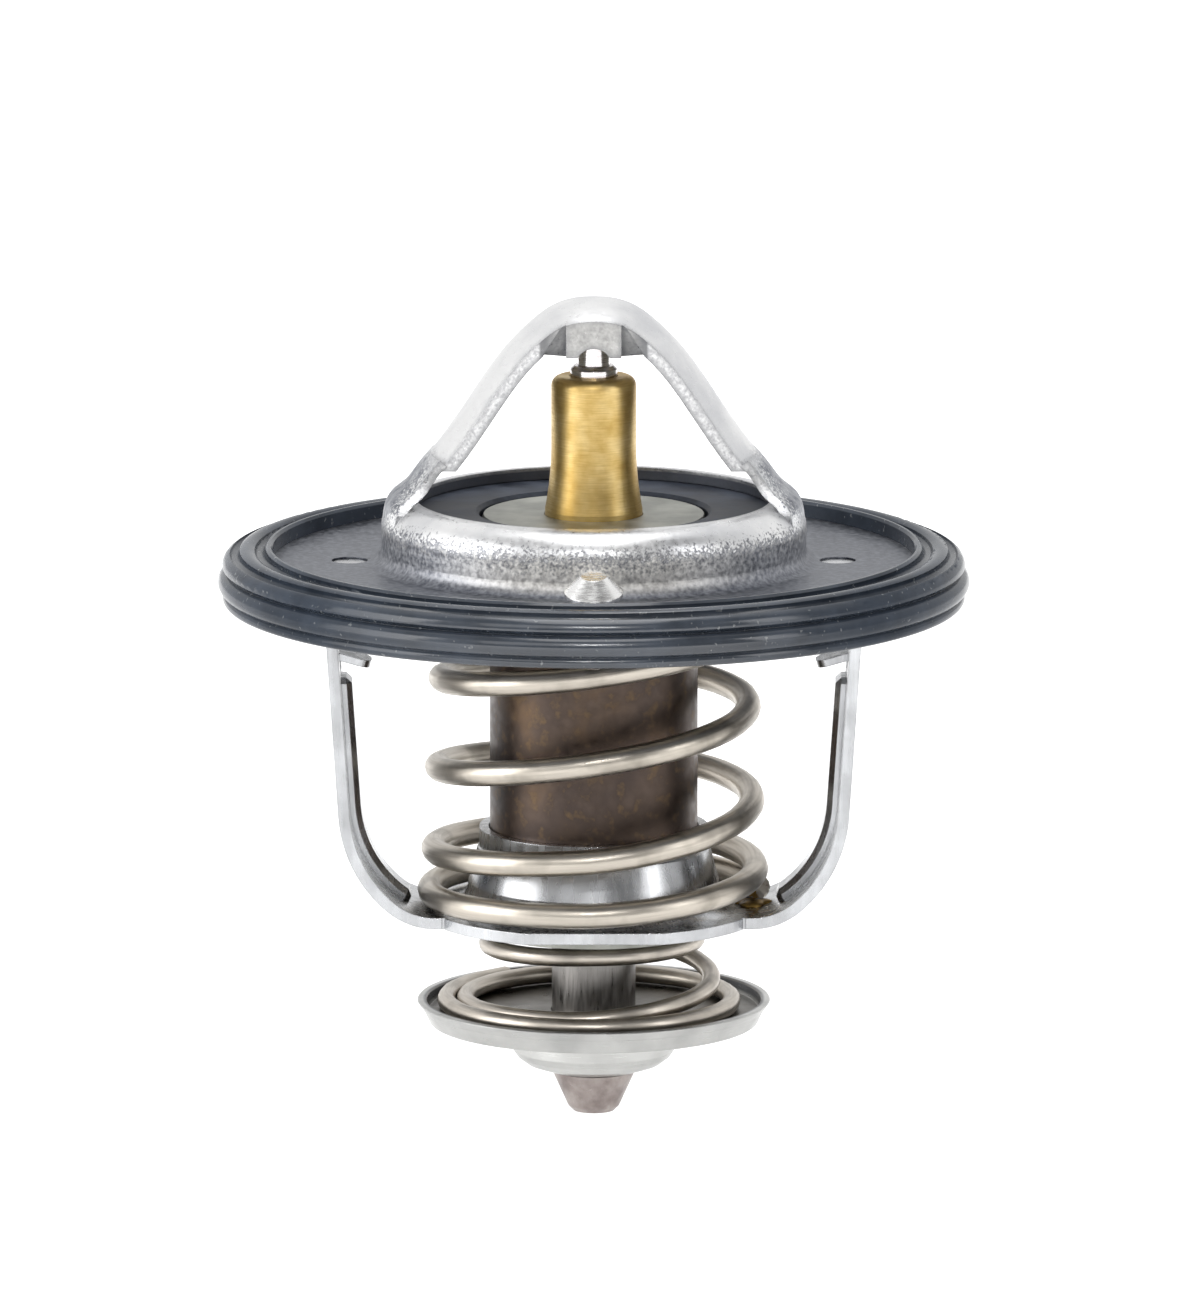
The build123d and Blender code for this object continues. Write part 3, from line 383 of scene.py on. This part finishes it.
# The jiggle pin is turned from bright steel. A ball of the same is pressed on its tail, under
# the flange, so that the pin can rise but not fall out.
pin_steel, tree, shader = new_finish(
    "turned_pin_steel", colour=(0.8, 0.8, 0.79), metallic=1.0, roughness=0.25,
)
turning = grain(tree, on_object(tree, stretch=(1, 1, 9)), spots=1400, detail=2)
coloured(tree, shader, tints(tree, turning, [(0.35, (0.80, 0.79, 0.785)), (0.6, (0.86, 0.86, 0.85))]))
roughened(tree, shader, turning, smoothest=0.2, roughest=0.34)
relief(tree, shader, turning, strength=0.02, depth=0.01, edge=0.10)
for node in ("jiggle_pin", "jiggle_weight"):
    paint(node, pin_steel)


# The piston is a ground steel pin with a stepped tip, held in the bridge's nose. A small plastic
# washer at its lower end keeps the rubber plug from creeping past it.
ground_steel, tree, shader = new_finish(
    "ground_pin_steel", colour=(0.7, 0.68, 0.67), metallic=1.0, roughness=0.18,
)
rings = grain(tree, on_object(tree, stretch=(1, 1, 14)), spots=900, detail=2)
coloured(tree, shader, tints(tree, rings, [(0.35, (0.50, 0.46, 0.46)), (0.6, (0.80, 0.79, 0.79))]))
roughened(tree, shader, rings, smoothest=0.12, roughest=0.26)
relief(tree, shader, rings, strength=0.12, depth=0.02, edge=0.08)
paint("piston", ground_steel)

seal_plastic, tree, shader = new_finish(
    "pale_seal_plastic", colour=(0.75, 0.74, 0.70), metallic=0.0, roughness=0.35,
)
relief(tree, shader, grain(tree, on_object(tree), spots=1800, detail=2), strength=0.1, depth=0.02)
paint("backup_washer", seal_plastic)


# The guide is turned brass. The lathe tool leaves fine rings round it, and handling has
# browned it in streaks.
ring_brown = (0.42, 0.26, 0.07)
brass, tree, shader = new_finish(
    "turned_brass", colour=(0.7, 0.5, 0.2), metallic=1.0, roughness=0.25,
)
lathe_rings = grain(tree, on_object(tree, stretch=(1, 1, 16)), spots=650, detail=3)
stains = grain(tree, on_object(tree), spots=420, detail=5)
pits = grain(tree, on_object(tree), spots=3000, detail=2)
stained = tints(
    tree, stains,
    [(0.34, (0.54, 0.36, 0.11)), (0.50, (0.68, 0.49, 0.19)), (0.66, (0.80, 0.62, 0.29))],
)
ring_share = between(tree, lathe_rings, low=0.0, high=0.40)
coloured(tree, shader, blended(tree, ring_share, stained, ring_brown))
roughened(tree, shader, lathe_rings, smoothest=0.36, roughest=0.48)
ringed_and_pitted = combined(tree, "ADD", lathe_rings, combined(tree, "MULTIPLY", pits, 0.5))
relief(tree, shader, ringed_and_pitted, strength=0.12, depth=0.03, edge=0.10)
paint("guide", brass)


# The wax case is a drawn cup of brass that has gone brown, with coppery patches where the
# brown is thin.
copper_spot = (0.21, 0.14, 0.075)
browned_brass, tree, shader = new_finish(
    "browned_brass", colour=(0.12, 0.08, 0.06), metallic=1.0, roughness=0.4,
)
where = on_object(tree)
blotches = grain(tree, where, spots=150, detail=6)
mottle = grain(tree, where, spots=1100, detail=4)
patina = tints(
    tree, blotches,
    [(0.36, (0.062, 0.049, 0.045)), (0.55, (0.095, 0.070, 0.056)), (0.70, (0.145, 0.095, 0.058))],
)
thin_brown = between(tree, mottle, low=0.0, high=0.6, start=0.55, end=0.75)
coloured(tree, shader, blended(tree, thin_brown, patina, copper_spot))
roughened(tree, shader, mottle, smoothest=0.34, roughest=0.52)
relief(tree, shader, mottle, strength=0.2, depth=0.03, edge=0.12)
paint("wax_case", browned_brass)


# Wax and copper powder fill the cup, and a soft grease fills the boot's throat. Neither shows
# from outside.
copper_wax, tree, shader = new_finish(
    "copper_filled_wax", colour=(0.36, 0.18, 0.09), metallic=0.3, roughness=0.6,
)
powder = grain(tree, on_object(tree), spots=2400, detail=2)
coloured(tree, shader, tints(tree, powder, [(0.40, (0.28, 0.14, 0.07)), (0.60, (0.50, 0.27, 0.13))]))
for node in ("wax_charge", "semi_fluid"):
    paint(node, copper_wax)


# The valve disc is pressed steel, dulled to a pale grey where it shows round the guide. The
# main spring's seat ring and the bypass spring's washer are of the same sheet.
dull_steel, tree, shader = new_finish(
    "dull_valve_steel", colour=(0.42, 0.42, 0.39), metallic=1.0, roughness=0.5,
)
where = on_object(tree)
haze = grain(tree, where, spots=320, detail=5)
coloured(tree, shader, tints(tree, haze, [(0.35, (0.24, 0.245, 0.22)), (0.65, (0.44, 0.445, 0.41))]))
roughened(tree, shader, haze, smoothest=0.42, roughest=0.6)
relief(tree, shader, grain(tree, where, spots=1600, detail=3), strength=0.2, depth=0.03, edge=0.10)
for node in ("valve_disc", "spring_seat", "bypass_seat"):
    paint(node, dull_steel)


# The valve's rubber face is moulded over the disc's edge, and closes on the collar's rim. It is
# duller than the gasket and mottled blue-grey.
face_rubber, tree, shader = new_finish(
    "seating_rubber", colour=(0.035, 0.037, 0.044), metallic=0.0, roughness=0.3,
)
swirl = grain(tree, on_object(tree), spots=300, detail=4)
blue_grey = tints(tree, swirl, [(0.36, (0.016, 0.020, 0.030)), (0.62, (0.062, 0.072, 0.094))])
coloured(tree, shader, blue_grey)
roughened(tree, shader, swirl, smoothest=0.38, roughest=0.55)
shader.inputs["Specular IOR Level"].default_value = 0.1
relief(tree, shader, swirl, strength=0.35, depth=0.18, edge=0.10)
paint("valve_face", face_rubber)


# The main spring is cold-drawn steel wire, wound with its end coils closed. The dead end on
# the stirrup's plate carries a dab of brown-gold paint.
def wire_finish(name, light, dark):
    """Drawn wire: streaks along its length, and small scuffs."""
    finish, tree, shader = new_finish(name, colour=light, metallic=1.0, roughness=0.3)
    length_and_girth = tree.nodes.new("ShaderNodeUVMap")
    stretched = tree.nodes.new("ShaderNodeMapping")
    stretched.inputs["Scale"].default_value = (90, 30, 1)
    tree.links.new(length_and_girth.outputs["UV"], stretched.inputs["Vector"])
    streaks = grain(tree, stretched.outputs["Vector"], spots=1.0, detail=3)
    scuffs = grain(tree, on_object(tree), spots=260, detail=3)
    scuffed = tints(tree, scuffs, [(0.30, dark), (0.50, light)])
    dark_streaks = between(tree, streaks, low=0.0, high=0.35, start=0.45, end=0.70)
    lined = blended(tree, dark_streaks, scuffed, dark)
    coloured(tree, shader, lined)
    roughened(tree, shader, streaks, smoothest=0.30, roughest=0.40)
    pits = grain(tree, on_object(tree), spots=2600, detail=2)
    streaked_and_pitted = combined(tree, "ADD", streaks, pits)
    relief(tree, shader, streaked_and_pitted, strength=0.12, depth=0.03)
    return finish, tree, shader, lined


spring_wire, tree, shader, bare_wire = wire_finish(
    "drawn_spring_wire", light=(0.55, 0.505, 0.44), dark=(0.34, 0.31, 0.265),
)
where = on_object(tree)
dab_place = tree.nodes.new("ShaderNodeAttribute")
dab_place.attribute_name = "paint_dab"
ragged_edge = between(tree, grain(tree, where, spots=900, detail=4), -0.4, 0.4)
ragged_dab = combined(tree, "ADD", dab_place.outputs["Fac"], ragged_edge)
dab_share = above(tree, ragged_dab, (0.45, 0.55))
dab_swirls = grain(tree, where, spots=800, detail=3)
dab_tone = tints(tree, dab_swirls, [(0.40, (0.10, 0.055, 0.015)), (0.62, (0.34, 0.20, 0.045))])
coloured(tree, shader, blended(tree, dab_share, bare_wire, dab_tone))
less_metal = combined(tree, "MULTIPLY", dab_share, 0.6)
tree.links.new(apart_from(tree, less_metal), shader.inputs["Metallic"])

# In millimetres: the wire's thickness, how far each coil tips up at one side, the height of the
# wire at each turn from the dead end, to be fitted into the spring's room, and its radius there.
main_coil = dict(
    wire=2.04,
    heights=(
        (0.0, 0.0), (0.5, 0.15), (0.75, 0.6), (1.0, 1.85), (1.5, 3.9), (1.75, 5.0), (2.0, 7.2),
        (2.75, 12.9), (3.75, 20.0), (4.5, 25.2), (5.0, 27.0), (5.5, 27.4),
    ),
    radii=((0.0, 13.25), (5.5, 11.6)),
    first_angle=6.0,
    side_rise=0.7,
)


def at_turn(table, turn):
    """The value at a turn, straight between the table's rows."""
    for (start, low), (end, high) in zip(table, table[1:]):
        if turn <= end:
            return low + (high - low) * (turn - start) / (end - start)
    return table[-1][1]


def wound_wire(name, node, coil, finish):
    """A wire wound up from its dead end between the heights that its node in the frame has."""
    points_per_turn = 16
    points_between = 3
    facets_on_bevel = 5
    merge_within = 0.002 * millimetre
    hard_corner = math.radians(40)
    low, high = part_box(node)
    wire = coil["wire"] * millimetre
    bottom = low[2] + wire / 2
    rise = high[2] - wire / 2 - bottom
    turns, last_height = coil["heights"][-1]
    steps = round(turns * points_per_turn)
    curve = bpy.data.curves.new(name, "CURVE")
    curve.dimensions = "3D"
    curve.bevel_depth = wire / 2
    curve.bevel_resolution = facets_on_bevel
    curve.resolution_u = points_between
    curve.use_fill_caps = True
    spline = curve.splines.new("BEZIER")
    spline.bezier_points.add(steps)
    for step, point in enumerate(spline.bezier_points):
        turn = turns * step / steps
        angle = math.radians(coil["first_angle"]) + 2 * math.pi * turn
        radius = at_turn(coil["radii"], turn) * millimetre
        share = at_turn(coil["heights"], turn) / last_height
        tilt = coil["side_rise"] * millimetre * math.sin(math.pi * share) * math.cos(angle)
        point.co = (radius * math.cos(angle), radius * math.sin(angle), bottom + rise * share + tilt)
        point.handle_left_type = "AUTO"
        point.handle_right_type = "AUTO"
    wound = bpy.data.objects.new(name, curve)
    bpy.context.scene.collection.objects.link(wound)
    bpy.ops.object.select_all(action="DESELECT")
    wound.select_set(True)
    bpy.context.view_layer.objects.active = wound
    bpy.ops.object.convert(target="MESH")
    bpy.ops.object.mode_set(mode="EDIT")
    bpy.ops.mesh.select_all(action="SELECT")
    bpy.ops.mesh.remove_doubles(threshold=merge_within)
    bpy.ops.mesh.normals_make_consistent(inside=False)
    bpy.ops.object.mode_set(mode="OBJECT")
    bpy.ops.object.shade_smooth_by_angle(angle=hard_corner)
    wound.data.materials.clear()
    wound.data.materials.append(finish)
    return wound


main_spring = wound_wire("main_spring_wire", "main_spring", main_coil, spring_wire)
dab_centre = Vector((13.0, 0.8, -23.4)) * millimetre
dab_reach = 2.2 * millimetre
dab = main_spring.data.attributes.new("paint_dab", "FLOAT", "POINT")
for vertex, share in zip(main_spring.data.vertices, dab.data):
    share.value = max(0.0, 1.0 - (vertex.co - dab_centre).length / dab_reach)
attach(main_spring, "frame")
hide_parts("main_spring")
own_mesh(main_spring)


# The paint that marks the spring's dead end has run down onto the stirrup's plate and dried
# there as a small lump, with an uneven outline and a flat bottom.
lump_centre = Vector((12.9, -0.5, -24.6)) * millimetre
lump_size = Vector((1.5, 1.1, 0.42)) * millimetre
lobes, lobe_depth, lobe_turn = 3, 0.22, 0.7
ripples, ripple_depth = 5, 0.12
flat_below = -0.3
dried_paint, tree, shader = new_finish(
    "brown_gold_paint", colour=(0.3, 0.18, 0.04), metallic=0.4, roughness=0.4,
)
swirls = grain(tree, on_object(tree), spots=800, detail=3)
coloured(tree, shader, tints(tree, swirls, [(0.38, (0.09, 0.05, 0.014)), (0.62, (0.40, 0.25, 0.06))]))
roughened(tree, shader, swirls, smoothest=0.25, roughest=0.5)
relief(tree, shader, swirls, strength=0.4, depth=0.2)
bpy.ops.object.select_all(action="DESELECT")
bpy.ops.mesh.primitive_ico_sphere_add(subdivisions=4, radius=1)
lump = bpy.context.object
lump.name = "paint_lump"
for vertex in lump.data.vertices:
    across, deep, up = vertex.co
    lobe = lobe_depth * math.sin(lobes * math.atan2(deep, across) + lobe_turn)
    spread = 1 + lobe + ripple_depth * math.sin(ripples * across)
    vertex.co = lump_centre + Vector((across * spread, deep * spread, max(up, flat_below))) * lump_size
bpy.ops.object.shade_smooth()
lump.data.materials.append(dried_paint)
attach(lump, "frame")


# The bypass spring is a thinner wire of the same steel, wound as a cone: its wide end lies
# on the dish and its narrow end bears on the washer under the wax case.
bypass_coil = dict(
    wire=1.44,
    heights=(
        (0.0, 0.0), (1.15, 0.05), (1.4, 0.35), (1.65, 1.85), (1.9, 3.75), (2.15, 4.7),
        (2.4, 5.2), (2.9, 5.25),
    ),
    radii=((0.0, 12.05), (1.4, 9.9), (2.15, 8.5), (2.9, 8.1)),
    first_angle=126.0,
    side_rise=0.0,
)
thin_wire, *_ = wire_finish("thin_spring_wire", light=(0.54, 0.495, 0.435), dark=(0.35, 0.32, 0.28))
bypass_spring = wound_wire("bypass_spring_wire", "bypass_spring", bypass_coil, thin_wire)
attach(bypass_spring, "element")
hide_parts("bypass_spring")
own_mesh(bypass_spring)


# The bypass valve is a dish turned from a light metal. It is satin outside, with fine turning
# lines round it, and its inner wall and floor are painted darker, a painted shade inside the cup.
def facing_up(tree):
    """1 on faces that look up."""
    return above(tree, along_axis(tree, "Z", of="Normal"), (0.2, 0.5))


inner_wall_bottom = (-33.15, -32.95)
inner_wall_radius = (13.55, 13.75)
inner_floor_radius = (13.4, 13.6)
inner_wall_painted_shade = (0.10, 0.105, 0.115)
inner_floor_painted_shade = (0.15, 0.14, 0.125)
light_metal, tree, shader = new_finish(
    "turned_light_metal", colour=(0.72, 0.73, 0.72), metallic=1.0, roughness=0.35,
)
lines = grain(tree, on_object(tree, stretch=(1, 1, 22)), spots=420, detail=3)
haze = grain(tree, on_object(tree), spots=240, detail=5)
pits = grain(tree, on_object(tree), spots=2200, detail=2)
height = height_of(tree)
radius = radius_of(tree)
outside = tints(tree, haze, [(0.34, (0.43, 0.43, 0.42)), (0.64, (0.55, 0.55, 0.535))])
# Painted shade on the dish's inner wall and floor.
inner_wall = both(tree, above(tree, height, inner_wall_bottom), below(tree, radius, inner_wall_radius))
inner_floor = both(tree, facing_up(tree), below(tree, radius, inner_floor_radius))
walled = blended(tree, inner_wall, outside, inner_wall_painted_shade)
coloured(tree, shader, blended(tree, inner_floor, walled, inner_floor_painted_shade))
roughened(tree, shader, lines, smoothest=0.26, roughest=0.42)
lined_and_pitted = combined(tree, "ADD", lines, combined(tree, "MULTIPLY", pits, 0.6))
relief(tree, shader, lined_and_pitted, strength=0.22, depth=0.03, edge=0.12)
paint("bypass_valve", light_metal)


# The stem is drawn steel rod. It is dark with fine scratches, and browner at its tip, which
# runs out below the dish.
tip_line = (-38.4, -37.6)
drawn_rod, tree, shader = new_finish(
    "drawn_steel_rod", colour=(0.4, 0.38, 0.37), metallic=1.0, roughness=0.35,
)
scratches = grain(tree, on_object(tree, stretch=(10, 10, 1)), spots=520, detail=4)
blotches = grain(tree, on_object(tree), spots=700, detail=4)
shank = tints(tree, scratches, [(0.30, (0.25, 0.24, 0.23)), (0.66, (0.36, 0.345, 0.33))])
tip = tints(tree, blotches, [(0.34, (0.255, 0.215, 0.203)), (0.64, (0.40, 0.353, 0.332))])
coloured(tree, shader, blended(tree, below(tree, height_of(tree), tip_line), shank, tip))
roughened(tree, shader, scratches, smoothest=0.26, roughest=0.44)
relief(tree, shader, scratches, strength=0.2, depth=0.03, edge=0.12)
paint("bypass_stem", drawn_rod)


# The clip is an open ring of blued spring wire. It is snapped into the stem's groove, in the
# recess under the dish's hub, and holds the dish on.
blued_wire, tree, shader = new_finish(
    "blued_clip_wire", colour=(0.25, 0.24, 0.24), metallic=1.0, roughness=0.35,
)
blueing = grain(tree, on_object(tree), spots=900, detail=3)
coloured(tree, shader, tints(tree, blueing, [(0.36, (0.16, 0.16, 0.17)), (0.64, (0.36, 0.34, 0.33))]))
relief(tree, shader, grain(tree, on_object(tree), spots=1800, detail=2), strength=0.1, depth=0.02)
paint("retaining_clip", blued_wire)


# The camera stands far off in front and a little above, with a long lens, so the thermostat's
# rings show as flat as they do in the photograph.
camera_place = Vector((0.0005, -1.547, 0.287))
camera_aim = Vector((0.0005, 0, -0.0045))
camera_lens = bpy.data.cameras.new("camera")
camera_lens.sensor_fit = "HORIZONTAL"
camera_lens.sensor_width = 36
camera_lens.lens = 590.3
camera_lens.clip_end = 20
camera = bpy.data.objects.new("camera", camera_lens)
bpy.context.scene.collection.objects.link(camera)
bpy.context.scene.camera = camera
camera.location = camera_place
camera.rotation_euler = (camera_aim - camera_place).to_track_quat("-Z", "Y").to_euler()


# The floor is plain and pale. It lies lower than the stem by the valve's travel, so that the
# open valve shows whole. To the camera it glows a little more with the distance, until it is as
# white as the backdrop, and it still takes the soft shadow.
def seen_directly(tree):
    """1 for what the camera sees, straight or in metal and glass, and 0 for light's own rays."""
    rays = tree.nodes.new("ShaderNodeLightPath")
    straight, mirrored = rays.outputs["Is Camera Ray"], rays.outputs["Is Glossy Ray"]
    through_glass = rays.outputs["Is Transmission Ray"]
    return combined(tree, "MAXIMUM", combined(tree, "MAXIMUM", straight, mirrored), through_glass)


open_valve_travel = 8.4 * millimetre
floor_width = 6
glow_near, glow_far = 0.36, 1.0
glow_grows_over = (0.08, 0.5)
floor_level = cad_box[0][2] - open_valve_travel
bpy.ops.object.select_all(action="DESELECT")
bpy.ops.mesh.primitive_plane_add(size=floor_width, location=(0, 0, floor_level))
floor = bpy.context.object
floor.name = "floor"
floor_paint, tree, shader = new_finish(
    "floor_paint", colour=(0.85, 0.85, 0.85), metallic=0.0, roughness=0.9,
)
distance = tree.nodes.new("ShaderNodeVectorMath")
distance.operation = "LENGTH"
tree.links.new(on_object(tree), distance.inputs[0])
glow_strength = between(tree, distance.outputs["Value"], glow_near, glow_far, *glow_grows_over)
glow = tree.nodes.new("ShaderNodeEmission")
tree.links.new(glow_strength, glow.inputs["Strength"])
glowing = tree.nodes.new("ShaderNodeAddShader")
tree.links.new(shader.outputs["BSDF"], glowing.inputs[0])
tree.links.new(glow.outputs["Emission"], glowing.inputs[1])
shown = tree.nodes.new("ShaderNodeMixShader")
tree.links.new(seen_directly(tree), shown.inputs["Fac"])
tree.links.new(shader.outputs["BSDF"], shown.inputs[1])
tree.links.new(glowing.outputs["Shader"], shown.inputs[2])
tree.links.new(shown.outputs["Shader"], tree.nodes["Material Output"].inputs["Surface"])
floor.data.materials.append(floor_paint)


# The studio is a room that is brightest behind the thermostat, half as bright on the left and a
# quarter on the right, and grey towards the camera, so that bright metal has something darker
# to mirror. The back wall shows as plain white.
white = (1, 1, 1, 1)
grey_level = 0.20
studio = bpy.data.worlds.new("studio")
bpy.context.scene.world = studio
studio.use_nodes = True
tree = studio.node_tree
depth = along_axis(tree, "Y", of="Generated")
sideways = along_axis(tree, "X", of="Generated")
behind = between(tree, depth, low=0.0, high=0.75, start=-0.15, end=0.25)
left_wall = between(tree, sideways, low=0.5, high=0.0, start=-0.9, end=-0.1)
right_wall = between(tree, sideways, low=0.0, high=0.25, start=0.2, end=0.9)
walls = combined(tree, "ADD", behind, combined(tree, "ADD", left_wall, right_wall))
room = tree.nodes["Background"]
room.inputs["Color"].default_value = white
room_level = combined(tree, "MINIMUM", combined(tree, "ADD", walls, grey_level), 1.0)
tree.links.new(room_level, room.inputs["Strength"])
backdrop = tree.nodes.new("ShaderNodeBackground")
backdrop.inputs["Color"].default_value = white
seen = tree.nodes.new("ShaderNodeMixShader")
back_wall = above(tree, depth, (0.10, 0.30))
tree.links.new(both(tree, seen_directly(tree), back_wall), seen.inputs["Fac"])
tree.links.new(room.outputs["Background"], seen.inputs[1])
tree.links.new(backdrop.outputs["Background"], seen.inputs[2])
tree.links.new(seen.outputs["Shader"], tree.nodes["World Output"].inputs["Surface"])


# Five soft boxes light it: one on each side, one high above, a wide one above the camera, and
# a small bright strip that draws the shine on the gasket's ribs.
thermostat_middle = Vector((0, 0, -0.01))


def soft_box(name, place, size, power):
    """A rectangular lamp, in metres and watts, turned to the thermostat's middle."""
    lamp = bpy.data.lights.new(name, "AREA")
    lamp.shape = "RECTANGLE"
    lamp.size, lamp.size_y = size
    lamp.energy = power
    box = bpy.data.objects.new(name, lamp)
    bpy.context.scene.collection.objects.link(box)
    box.location = place
    box.rotation_euler = (thermostat_middle - box.location).to_track_quat("-Z", "Y").to_euler()


soft_box("left_box", place=(-0.70, -0.22, 0.20), size=(0.50, 0.60), power=3.3)
soft_box("right_box", place=(0.62, -0.38, 0.28), size=(0.22, 0.50), power=1.0)
soft_box("top_box", place=(0, -0.05, 0.75), size=(0.34, 0.7), power=1.85)
soft_box("front_window", place=(-0.25, -1.20, 0.75), size=(1.15, 0.70), power=2.8)
soft_box("front_strip", place=(0.0, -1.00, 0.60), size=(0.24, 0.05), power=1.6)
bpy.context.scene.view_settings.view_transform = "Standard"
